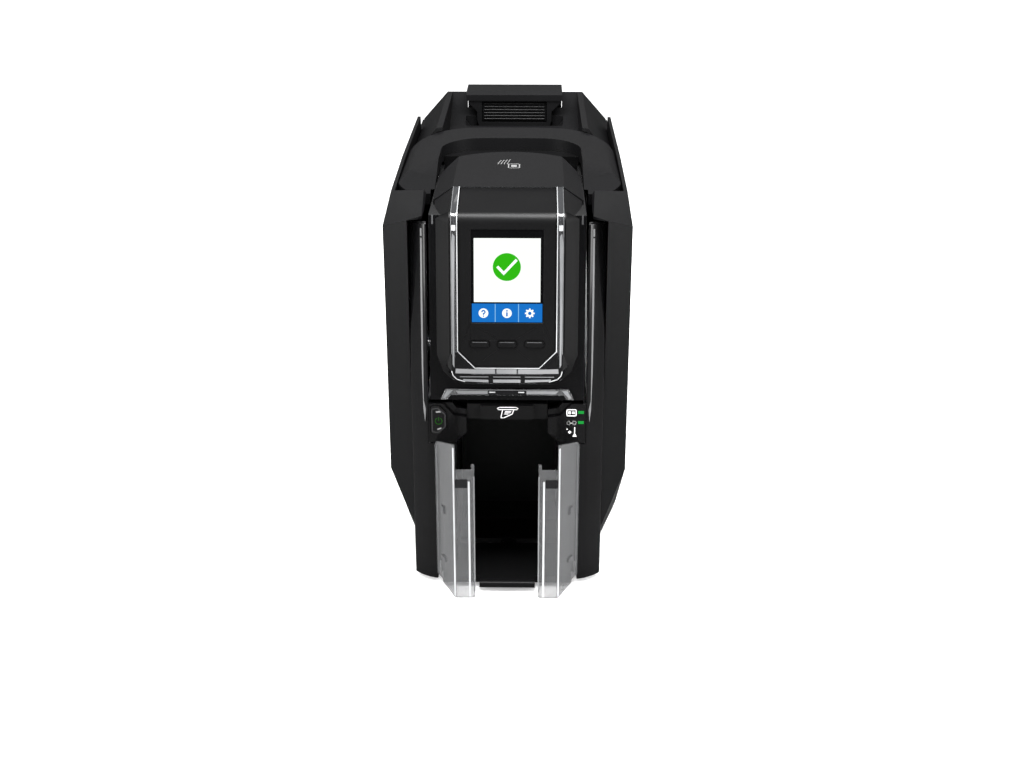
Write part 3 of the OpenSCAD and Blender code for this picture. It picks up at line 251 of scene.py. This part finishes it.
SLOT_MATERIALS = {
    "panel_plastic": plastic("panel_plastic", (0.0025, 0.0026, 0.0029), 0.42, grain=0.25,
                             specular=0.16),
    "gloss_black": plastic("gloss_black", (0.002, 0.002, 0.0022), 0.13, specular=0.25, vary=0.3),
    "satin_black": plastic("satin_black", (0.0025, 0.0025, 0.0027), 0.4, grain=0.08,
                           specular=0.2),
    "hood_plastic": plastic("hood_plastic", (0.0032, 0.0032, 0.0036), 0.5, grain=0.35,
                            grain_mm=0.5, specular=0.16),
    "clear_plastic": clear("clear_plastic", (0.085, 0.086, 0.088), 0.1, 0.42),
    "bezel_plastic": clear("bezel_plastic", (0.035, 0.036, 0.038), 0.1, 0.55),
    "display": plastic("display", (0.0015, 0.0015, 0.0017), 0.12, specular=0.1),
    "light_green": glowing("light_green", (0.012, 0.36, 0.05), 0.9),
    "inner_plastic": plastic("inner_plastic", (0.012, 0.0125, 0.013), 0.5, grain=0.3,
                             specular=0.3),
    "rubber": plastic("rubber", (0.006, 0.006, 0.006), 0.8, grain=0.5, grain_mm=0.8,
                      specular=0.2),
    "roller_rubber": plastic("roller_rubber", (0.012, 0.012, 0.0125), 0.75, grain=0.3,
                             grain_mm=0.3),
    "sheet_steel": metal("sheet_steel", (0.3, 0.305, 0.31), 0.35, (1, 1, 8)),
    "turned_steel": metal("turned_steel", (0.4, 0.405, 0.42), 0.22, (12, 1, 1)),
    "sintered_bronze": metal("sintered_bronze", (0.4, 0.28, 0.13), 0.45),
    "circuit_board": plastic("circuit_board", (0.008, 0.07, 0.03), 0.35, coat=0.3, vary=0.3),
    "motor_metal": metal("motor_metal", (0.16, 0.16, 0.17), 0.4),
    "heat_sink": metal("heat_sink", (0.45, 0.46, 0.47), 0.38),
    "ribbon_film": plastic("ribbon_film", (0.02, 0.02, 0.026), 0.18, coat=0.5),
    "cleaner_blue": plastic("cleaner_blue", (0.05, 0.14, 0.34), 0.4, grain=0.2),
}
# grey for the printed contactless sign, and for painted highlights in the power button's dish
SIGN_AND_GLINT_GREY = plastic("sign_and_glint_grey", (0.17, 0.17, 0.17), 0.5)
SIGN_WHITE = plastic("sign_white", (0.62, 0.62, 0.62), 0.5)
SIGN_GREEN = glowing("sign_green", (0.03, 0.2, 0.015), 0.5)
# painted highlight: light grey lines along the edges of the clear surround, light bar and guards
CLEAR_HIGHLIGHT = plastic("clear_highlight", (0.32, 0.325, 0.33), 0.12, specular=0.8, vary=0.3)
CLEAR_GLINT = plastic("clear_glint", (0.12, 0.122, 0.125), 0.14, specular=0.7, vary=0.4)
# near-black: the light bar's window, and a painted dark reflection band on each guard's flange
CLEAR_SHADE = plastic("clear_shade", (0.004, 0.004, 0.0045), 0.1, specular=0.4)
# painted highlight on the ends of the surround's upper lip
LIP_HIGHLIGHT = plastic("lip_highlight", (0.13, 0.131, 0.134), 0.14, specular=0.6, vary=0.3)
# painted highlight: streaks down the columns' front edges
COLUMN_HIGHLIGHT = plastic("painted_column_highlight", (0.11, 0.11, 0.112), 0.4, grain=0.3, specular=0.4)
FOOT_BLACK = plastic("foot_black", (0.003, 0.003, 0.0032), 0.12, specular=0.5, vary=0.3)
# painted highlight: lines on the menu buttons' tops and the power button's rim, and catches of
# light beside the head
EDGE_HIGHLIGHT = plastic("edge_highlight", (0.05, 0.05, 0.052), 0.25, specular=0.6, vary=0.4)


def dress_nodes():
    for row in frame["record"]["subparts"]:
        node = nodes[row["node"]]
        node.data.materials.clear()
        node.data.materials.append(SLOT_MATERIALS[row["material_slot"]])


# ---------- soft edges of the CAD parts ----------

# widths in mm
SOFT_EDGES = {
    "left_side_panel": 2.4, "right_side_panel": 2.4, "left_column": 1.0, "right_column": 1.0,
    "top_hood": 2.0, "rear_housing": 1.4, "contactless_cap": 1.2, "card_door": 1.4,
    "display_housing": 1.6, "cover_shell": 0.8, "display_bezel": 0.5, "display_face": 0.25,
    "left_control_block": 0.6, "right_control_block": 0.6, "slot_frame": 0.4,
    "slot_label_plate": 0.4, "power_button": 0.4, "left_menu_button": 0.4,
    "middle_menu_button": 0.4, "right_menu_button": 0.4, "left_output_guard": 0.6,
    "right_output_guard": 0.6, "output_tray": 0.6, "door_latch": 0.3, "light_bar": 0.6,
    "base_tray": 0.4, "rubber_feet": 0.8, "hinge_well": 0.4, "printhead": 0.4,
}
WELD_DISTANCE = 0.00001
BEVEL_SEGMENTS = 3
BEVEL_ANGLE = math.radians(28)
FACE_WEIGHT = 80


def soften(node, width_mm):
    """Round the sharp edges of a moulded CAD part by modifiers, without touching its mesh."""
    weld = node.modifiers.new("weld", "WELD")
    weld.merge_threshold = WELD_DISTANCE
    bevel = node.modifiers.new("round_edges", "BEVEL")
    bevel.width = width_mm * MM
    bevel.segments = BEVEL_SEGMENTS
    bevel.limit_method = "ANGLE"
    bevel.angle_limit = BEVEL_ANGLE
    bevel.harden_normals = False
    bevel.use_clamp_overlap = True
    bevel.miter_outer = "MITER_ARC"
    for face in node.data.polygons:
        face.use_smooth = True
    shade = node.modifiers.new("flat_faces", "WEIGHTED_NORMAL")
    shade.keep_sharp = True
    shade.weight = FACE_WEIGHT


def soften_nodes():
    for name, width in SOFT_EDGES.items():
        soften(nodes[name], width)


# ---------- outlines, in mm ----------

def rect(x0, x1, z0, z1):
    return [(x0, z0), (x1, z0), (x1, z1), (x0, z1)]


def disc(x, z, r, count=32):
    return [(x + r * math.cos(2 * math.pi * i / count), z + r * math.sin(2 * math.pi * i / count))
            for i in range(count)]


def arc(x, z, r, start, end, count):
    return [(x + r * math.cos(math.radians(start + (end - start) * i / count)),
             z + r * math.sin(math.radians(start + (end - start) * i / count)))
            for i in range(count + 1)]


def stroke(points, width, closed=False):
    """Each stretch of a line as its own quad with square ends."""
    out = []
    ends = zip(points, points[1:] + (points[:1] if closed else []))
    for (x0, z0), (x1, z1) in ends:
        length = math.hypot(x1 - x0, z1 - z0)
        ux, uz = (x1 - x0) / length * width / 2, (z1 - z0) / length * width / 2
        out.append([(x0 - ux - uz, z0 - uz + ux), (x0 - ux + uz, z0 - uz - ux),
                    (x1 + ux + uz, z1 + uz - ux), (x1 + ux - uz, z1 + uz + ux)])
    return out


def sided(side, points):
    """An outline of the right side as it is (side 1), or mirrored to the left (side -1)."""
    return [(side * x, z) for x, z in points]


# ---------- solids ----------

# frames in metres: the leaning one has x across, y into the body and z up the cover's front,
# from where the front starts; the top one has z towards the back and y down into the cap
FRONT_Y = -172      # mm
SEAM_Z = 133        # mm
CAP_TOP = 262       # mm
LEAN = math.radians(8)
LEANING = (Matrix.Translation((0, FRONT_Y * MM, SEAM_Z * MM))
           @ Matrix.Rotation(-LEAN, 4, "X"))
UPRIGHT = Matrix.Translation((0, FRONT_Y * MM, 0))
TOP_FACE = Matrix(((1, 0, 0, 0), (0, 0, 1, 0), (0, -1, 0, CAP_TOP * MM), (0, 0, 0, 1)))


def add_mesh(name, verts, faces, material, body):
    mesh = bpy.data.meshes.new(name)
    mesh.from_pydata(verts, [], faces)
    mesh.validate()
    turned = bmesh.new()
    turned.from_mesh(mesh)
    bmesh.ops.recalc_face_normals(turned, faces=turned.faces)
    turned.to_mesh(mesh)
    turned.free()
    piece = bpy.data.objects.new(name, mesh)
    bpy.context.scene.collection.objects.link(piece)
    piece.data.materials.append(material)
    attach(piece, body)


def ring(matrix, outline, y):
    """The points of an outline at depth y (mm) of a frame."""
    return [tuple(matrix @ Vector((x * MM, y * MM, z * MM))) for x, z in outline]


def side_faces(start, n):
    """Quads between two rings of n points that follow each other."""
    return [(start + i, start + n + i, start + n + (i + 1) % n, start + (i + 1) % n)
            for i in range(n)]


def prism_faces(start, n):
    """The side faces and both ends."""
    near = tuple(range(start, start + n))
    far = tuple(range(start + 2 * n - 1, start + n - 1, -1))
    return [near, far] + side_faces(start, n)


def solid_outline(name, outlines, front, depth, matrix, material, body):
    """Outlines made into thin solids whose faces are at y = front."""
    verts, faces = [], []
    for outline in outlines:
        faces += prism_faces(len(verts), len(outline))
        verts += ring(matrix, outline, front) + ring(matrix, outline, front + depth)
    add_mesh(name, verts, faces, material, body)


def cover_trim(name, outlines, front, depth, material):
    solid_outline(name, outlines, front, depth, LEANING, material, "cover")


def upright_bar(name, outline, low, high, material):
    """Upright bar of a guard with a plan outline in x and y, from height low to high."""
    verts = [(x * MM, y * MM, z * MM) for z in (low, high) for x, y in outline]
    add_mesh(name, verts, prism_faces(0, len(outline)), material, "body")


# ---------- display ----------

PROUD = 7           # how far the display head stands out from the leaning front
GLASS_SUNK = 0.5    # how far the display glass lies behind the head's face
LCD_LOW = 53.1      # lower edge of the display glass in the leaning frame
LAYER = 0.05        # thickness of a printed or lit layer
THIN = 0.2          # depth of a sign or glint, most of it inside what carries it
THICK = 0.3         # depth of a painted edge highlight

ICON_Z = 6.1
ICON_R = 3.05
GEAR_TEETH = 8
GEAR_PROFILE = ((-0.3, 0.74), (-0.2, 1), (0.2, 1), (0.3, 0.74))   # turn and reach of a tooth


def screen_piece(name, outlines, layer, material):
    """Flat lit shape on the display glass; x from its middle, z from its lower edge."""
    moved = [[(x, z + LCD_LOW) for x, z in outline] for outline in outlines]
    front = -PROUD + GLASS_SUNK - LAYER * (layer + 1)
    cover_trim(name, moved, front, LAYER, material)


def gear_sign(x, z, r):
    points = []
    for i in range(GEAR_TEETH):
        for turn, reach in GEAR_PROFILE:
            a = 2 * math.pi * (i + turn) / GEAR_TEETH
            points.append((x + reach * r * math.cos(a), z + reach * r * math.sin(a)))
    return points


def make_screen():
    """Page with a ready sign, over a menu bar with help, info and setup signs."""
    white = glowing("screen_white", (0.93, 0.97, 0.93), 0.9, 0.01)
    pale = glowing("screen_pale", (0.83, 0.92, 0.8), 0.95, 0.01)
    blue = glowing("screen_blue", (0.004, 0.14, 0.49), 0.95, 0.02)
    line = glowing("screen_line", (0.2, 0.45, 0.7), 0.95, 0.02)
    green = glowing("screen_green", (0.022, 0.4, 0.002), 0.95, 0.02)
    screen_piece("screen_border", [rect(-20.9, 20.9, 13.2, 53.6)], 0, white)
    screen_piece("screen_page", [rect(-20.2, 20.2, 13.8, 52.8)], 1, pale)
    screen_piece("screen_menu", [rect(-22.2, 22.2, 0.3, 12.2)], 0, blue)
    screen_piece("screen_menu_lines",
                 [rect(-7.75, -7.25, 0.5, 12), rect(6.95, 7.45, 0.5, 12)], 1, line)
    screen_piece("screen_ready_disc", [disc(-0.2, 35.5, 8.8, 48)], 2, green)
    tick = stroke([(-5.6, 35.2), (-2.1, 31.5), (5.4, 39.5)], 1.7)
    screen_piece("screen_ready_tick", tick, 3, white)
    left, middle, right = -14.9, -0.1, 14.3
    screen_piece("screen_help_disc", [disc(left, ICON_Z, ICON_R)], 1, white)
    hook = arc(left, ICON_Z + 0.75, 0.95, 170, -60, 8)
    hook += [(left, ICON_Z - 0.35), (left, ICON_Z - 0.75)]
    dot = rect(left - 0.4, left + 0.4, 3.8, 4.55)
    screen_piece("screen_help_mark", stroke(hook, 0.75) + [dot], 2, blue)
    screen_piece("screen_info_disc", [disc(middle, ICON_Z, ICON_R)], 1, white)
    stem = rect(middle - 0.5, middle + 0.5, 4.1, 6.7)
    dot = rect(middle - 0.5, middle + 0.5, 7.2, 8.1)
    screen_piece("screen_info_mark", [stem, dot], 2, blue)
    screen_piece("screen_setup_gear", [gear_sign(right, ICON_Z, 3.1)], 1, white)
    screen_piece("screen_setup_hole", [disc(right, ICON_Z, 1.1, 20)], 2, blue)


# ---------- clear surround of the display head ----------

# side view of the head: leaning front, bend and slope up to the cap, as in its solid
CAP_FRONT = (-124.9, 261.8)
BEND_R = 8
BEND_STEPS = 10
TOP_SLOPE = math.radians(12)
SURROUND_FRONT = -PROUD - 0.8


def leaned(y, z):
    """A point of the leaning frame as depth and height, mm."""
    return Vector((FRONT_Y + y * math.cos(LEAN) + z * math.sin(LEAN),
                   SEAM_Z - y * math.sin(LEAN) + z * math.cos(LEAN)))


def head_path(out, z0):
    """Points of the head's front, bend and slope, moved outwards by out, from height z0."""
    slope_out = Vector((-math.sin(TOP_SLOPE), math.cos(TOP_SLOPE)))
    rise = Vector((math.sin(LEAN), math.cos(LEAN)))
    start = leaned(BEND_R - PROUD, 0)
    bend_z = (-BEND_R - (start - Vector(CAP_FRONT)).dot(slope_out)) / rise.dot(slope_out)
    middle = leaned(BEND_R - PROUD, bend_z)
    points = [leaned(-PROUD - out, z0)]
    for k in range(BEND_STEPS + 1):
        a = LEAN + (math.pi / 2 - TOP_SLOPE - LEAN) * k / BEND_STEPS
        points.append(middle + (BEND_R + out) * Vector((-math.cos(a), math.sin(a))))
    points.append(Vector(CAP_FRONT) + out * slope_out)
    return points


def head_rail(name, x0, x1, inner, outer, z0, material, side):
    """Narrow strip that follows the head over its bend on one side."""
    low, high = head_path(inner, z0), head_path(outer, z0)
    loop = high + low[::-1]
    n = len(loop)
    verts = [(side * x * MM, y * MM, z * MM) for x in (x0, x1) for y, z in loop]
    faces = side_faces(0, n)
    for a in range(len(high) - 1):
        b, c, d = a + 1, n - 2 - a, n - 1 - a
        faces += [(a, b, c, d), (n + d, n + c, n + b, n + a)]
    add_mesh(name, verts, faces, material, "cover")


def surround_foot(side, tag):
    """Black foot that squares the corner between the surround and the cover."""
    near = [(22.2, 19.7), (35.3, 32.8), (35.3, 22), (34.5, 18.8), (32, 16.2), (27, 14.6),
            (0, 13.6), (0, 19.7)]
    far = [(22.2, 19.7), (43.2, 33.4), (41, 25.6), (38.6, 20), (34.4, 15), (28, 12.4),
           (0, 11.8), (0, 19.7)]
    verts = ring(LEANING, sided(side, near), SURROUND_FRONT + 0.1)
    verts += ring(LEANING, sided(side, far), -0.3)
    add_mesh(tag + "_surround_foot", verts, prism_faces(0, len(near)), FOOT_BLACK, "cover")


def make_clear_surround():
    """Painted highlights along the edges of the clear surround and on the two lips of its foot,
    and the black foot itself.
    """
    front = SURROUND_FRONT
    for side, tag in SIDES:
        # painted highlights along the head's edges over its bend, and painted glints and catches
        # of light on its sides
        head_rail(tag + "_surround_inner_edge", 31.1, 31.6, 0.7, 0.95, 34.5, CLEAR_HIGHLIGHT, side)
        head_rail(tag + "_surround_outer_edge", 35.0, 35.3, 0.7, 0.9, 33, CLEAR_GLINT, side)
        glint = sided(side, [(32.7, 108), (34.2, 110), (34.9, 104), (34.8, 60), (34.5, 26),
                             (33.4, 24), (33.3, 60)])
        cover_trim(tag + "_surround_glint", [glint], front - 0.06, THIN, CLEAR_GLINT)
        catch = sided(side, rect(32.2, 34.8, 111.5, 115))
        cover_trim(tag + "_surround_catch", [catch], front - 0.1, THICK, CLEAR_HIGHLIGHT)
        surround_foot(side, tag)
        # painted highlight lines along the foot's flank and bend
        flank = sided(side, [(43.4, 33.4), (41.2, 25.6), (38.8, 20), (34.6, 14.9), (28, 12.2)])
        cover_trim(tag + "_surround_flank_edge", stroke(flank, 0.45), -0.75, 0.8, CLEAR_GLINT)
        bend = sided(side, [(35.1, 21.6), (34.3, 18.9), (32, 16.5), (27, 15)])
        cover_trim(tag + "_surround_foot_edge", stroke(bend, 0.5), front, THICK, CLEAR_HIGHLIGHT)
        # painted highlight on each end of the upper lip
        end = sided(side, [(20, 23), (32.6, 23.4), (32.8, 20.4), (20, 20.2)])
        cover_trim(tag + "_surround_lip_end", [end], front - 0.1, 0.5, LIP_HIGHLIGHT)
        dark = sided(side, [(31.7, 33.8), (32.7, 33.8), (32.7, 23.5), (20.8, 23.5)])
        cover_trim(tag + "_surround_dark_corner", [dark], front - 0.04, THIN, FOOT_BLACK)
    # painted highlights along the lower edge and on both lips
    rim = [(-31.2, 34.6), (-20.4, 23.8), (20.4, 23.8), (31.2, 34.6)]
    cover_trim("surround_lower_edge", stroke(rim, 0.4), front - 0.12, THICK, CLEAR_HIGHLIGHT)
    lip = [rect(-20, -7.6, 20.2, 23.2), rect(-6.6, 6.1, 20.2, 23.2), rect(7.1, 20, 20.2, 23.2)]
    cover_trim("surround_lip", lip, front - 0.1, 0.25, CLEAR_GLINT)
    low = [rect(-30, -11.8, 17.9, 18.3), rect(-8.8, 8.6, 17.9, 18.3), rect(11.4, 30, 17.9, 18.3),
           [(-28, 15.2), (-11.8, 14.5), (-11.8, 16.2), (-28, 16.6)], rect(-8.8, 8.6, 14.4, 16.4),
           [(28, 15.2), (11.4, 14.5), (11.4, 16.2), (28, 16.6)]]
    cover_trim("surround_low_lip", low, front, THICK, CLEAR_GLINT)


# ---------- menu buttons, light bar and signs ----------

KEY_FRONT = -7.7        # faces of the parts that carry signs, y in their frame
LIGHT_BAR_FRONT = -2.6
BUTTON_FRONT = -2.2
BLOCK_FRONT = -1
FACE_LAYER_PROUD = 0.08            # how far printed signs and painted highlights stand out from their carrier
POWER = (-44.3, 120.3)  # middle of the power button


def make_menu_glints():
    """Light caught by the upper edges of the menu buttons."""
    for body, x in (("menu_left", -17.3), ("menu_middle", 0), ("menu_right", 17.3)):
        edge = [rect(x - 4.6, x + 4.6, 40.35, 40.75)]
        solid_outline(body + "_glint", edge, KEY_FRONT - 0.06, THIN, LEANING, EDGE_HIGHLIGHT, body)


def make_light_bar():
    front, slot = LIGHT_BAR_FRONT, "clear_plastic"
    # painted highlights: glints along the bar and at its corners, two ticks in the window, and a
    # line along its upper edge
    streak = [(12.5, 5.6), (31, 5.6), (33, 7.6), (12.5, 7.6)]
    corner = [(35, 7.9), (38.6, 7.9), (41.5, 3), (39.8, 2.6)]
    glints = [sided(side, part) for side, _ in SIDES for part in (streak, corner)]
    cover_trim("light_bar_glints", glints, front - 0.1, THICK, CLEAR_GLINT)
    window = [rect(-12, 12, 4.9, 8.2)]
    cover_trim("light_bar_window", window, front - 0.06, THIN, CLEAR_SHADE)
    ticks = [rect(-11.4, -7.6, 6.4, 7.1), rect(7.2, 11, 6.4, 7.1)]
    cover_trim("light_bar_ticks", ticks, front - 0.15, THIN, CLEAR_HIGHLIGHT)
    edge = stroke([(-31, 8.4), (-12.5, 8.2), (12.5, 8.2), (31, 8.4)], 0.3)
    cover_trim("light_bar_edge", edge, front - 0.12, THIN, CLEAR_GLINT)


def add_face_layer(name, outlines, carrier_front, material, body):
    solid_outline(name, outlines, carrier_front - FACE_LAYER_PROUD, THIN, UPRIGHT, material, body)


def make_power_sign():
    x, z = POWER
    ring_part = stroke(arc(x, z - 0.4, 2.2, 125, 415, 18), 0.42)
    bar = [rect(x - 0.22, x + 0.22, z - 0.3, z + 2.3)]
    add_face_layer("power_sign", ring_part + bar, BUTTON_FRONT, SIGN_GREEN, "power_key")
    # painted highlight round the rim of the button's dish
    rim = [(x - 4.3, z - 7.8), (x - 0.6, z - 8.6), (x + 4.1, z - 4.2), (x + 4.1, z + 4.2),
           (x - 0.6, z + 8.6), (x - 4.3, z + 7.8)]
    add_face_layer("power_rim_highlight", stroke(rim, 0.35, closed=True), BUTTON_FRONT, EDGE_HIGHLIGHT,
               "power_key")
    # painted highlights where the dish round the sign catches light
    spots = [[(x - 1.9, z + 6.3), (x + 0.9, z + 6.7), (x + 1.5, z + 5.7), (x - 1.5, z + 5.5)],
             [(x - 0.6, z - 6.7), (x + 1.9, z - 5.5), (x + 1.4, z - 5.0), (x - 1.2, z - 6.0)]]
    add_face_layer("power_dish_glints", spots, BUTTON_FRONT, SIGN_AND_GLINT_GREY, "power_key")


def make_block_signs():
    """White signs beside the status lights: card, ribbon and cleaning."""
    card = stroke(rect(38.6, 44.6, 123.6, 127.9), 0.6, closed=True)
    card += [rect(39.6, 41, 124.8, 126.8), rect(41.8, 43.8, 126, 126.5),
             rect(41.8, 43.8, 125, 125.5)]
    ribbon = stroke(disc(39.8, 118.5, 1.1, 14), 0.55, closed=True)
    ribbon += stroke(disc(43.4, 118.6, 1.1, 14), 0.55, closed=True)
    ribbon += stroke([(40.3, 117.4), (41.6, 118.6), (42.9, 117.6)], 0.5)
    clean = [disc(38.9, 114.2, 0.45, 10),
             [(39.5, 112.1), (40.6, 110.9), (41.7, 112.1), (40.6, 113.3)],
             rect(43.5, 44.1, 111, 115.6),
             [(43.5, 111.2), (44.1, 111.2), (45.2, 108.9), (42.4, 108.9)]]
    add_face_layer("status_signs", card + ribbon + clean, BLOCK_FRONT, SIGN_WHITE, "body")


def make_slot_sign():
    """Card dropping out of the slot, printed on the label plate."""
    slot = stroke([(-5.0, 129.3), (-6.3, 128.5), (-5.6, 127.7), (6.3, 127.7), (7, 128.5),
                   (5.7, 129.3)], 0.5, closed=True)
    card = stroke([(-2.9, 127.6), (-4.1, 121.9), (-2.3, 121.9), (3.3, 124.6), (4.3, 127.6)],
                  0.5)
    lines = [rect(-1.3, 2.6, 126.2, 126.6), rect(-1.6, 2.2, 125.3, 125.7),
             rect(-1.9, 0.8, 124.4, 124.8)]
    add_face_layer("slot_sign", slot + card + lines, BLOCK_FRONT, SIGN_WHITE, "body")


def make_contactless_sign():
    """Card and radio waves on the cap."""
    card = stroke(rect(-0.8, 6.6, -71, -59), 0.8, closed=True)
    card += [rect(1, 4.8, -68, -62)]
    waves = []
    for k in range(4):
        x = -8.2 + k * 2.1
        waves += stroke([(x, -60), (x + 0.7, -54), (x + 2.0, -49 + k)], 0.55)
    solid_outline("contactless_sign", card + waves, -0.06, THIN, TOP_FACE, SIGN_AND_GLINT_GREY, "cover")


# ---------- columns and output guards ----------

def make_column_glints():
    """Painted highlights down the columns' front edges, and painted catches of light beside the
    head.
    """
    streak = [(51.8, 105.6), (54.9, 105.6), (55.1, 66), (54.9, 20), (54.2, -6), (53.2, -14),
              (52.6, -6), (52, 20), (51.7, 66)]
    upper = rect(51.8, 54.9, 106.8, 111.6)
    catch = rect(46.6, 47.6, 114.5, 120.5)
    for side, tag in SIDES:
        strip = [sided(side, streak), sided(side, upper)]
        solid_outline(tag + "_column_highlight_strip", strip, 1.35, 2.4, LEANING, COLUMN_HIGHLIGHT, "body")
        cover_trim(tag + "_cover_catch", [sided(side, catch)], -0.15, THICK, EDGE_HIGHLIGHT)


# the rims are painted highlights; flange_shade is a painted dark reflection band
# name, material, lowest and highest z, plan outline on the right side
GUARD_BARS = (
    ("flange_rim", CLEAR_HIGHLIGHT, 6, 90,
     [(23.4, -202.06), (24.6, -202.06), (24.6, -201.6), (23.4, -201.6)]),
    ("inner_rim", CLEAR_GLINT, 9, 93,
     [(20.4, -200.7), (21.1, -201.4), (21.3, -201.1), (20.8, -200.5)]),
    ("corner_rim", CLEAR_HIGHLIGHT, 6, 113,
     [(33.4, -201.6), (34.4, -200.6), (34.1, -200.3), (33.1, -201.3)]),
    ("rear_rim", CLEAR_GLINT, 8, 104,
     [(46.3, -176.3), (46.1, -176.7), (45.7, -176.3), (45.9, -176.0)]),
    ("flange_shade", CLEAR_SHADE, 85.5, 91.5,
     [(25, -202.04), (33, -202.04), (33, -201.7), (25, -201.7)]),
)


def make_guard_edges():
    """Painted highlights along the clear guards' rims, and painted dark reflection bands on their
    flanges.
    """
    for side, tag in SIDES:
        for name, material, low, high, outline in GUARD_BARS:
            upright_bar(tag + "_guard_" + name, sided(side, outline), low, high, material)


make_camera()
make_stage()
dress_nodes()
soften_nodes()
make_screen()
make_clear_surround()
make_menu_glints()
make_light_bar()
make_power_sign()
make_block_signs()
make_slot_sign()
make_contactless_sign()
make_column_glints()
make_guard_edges()
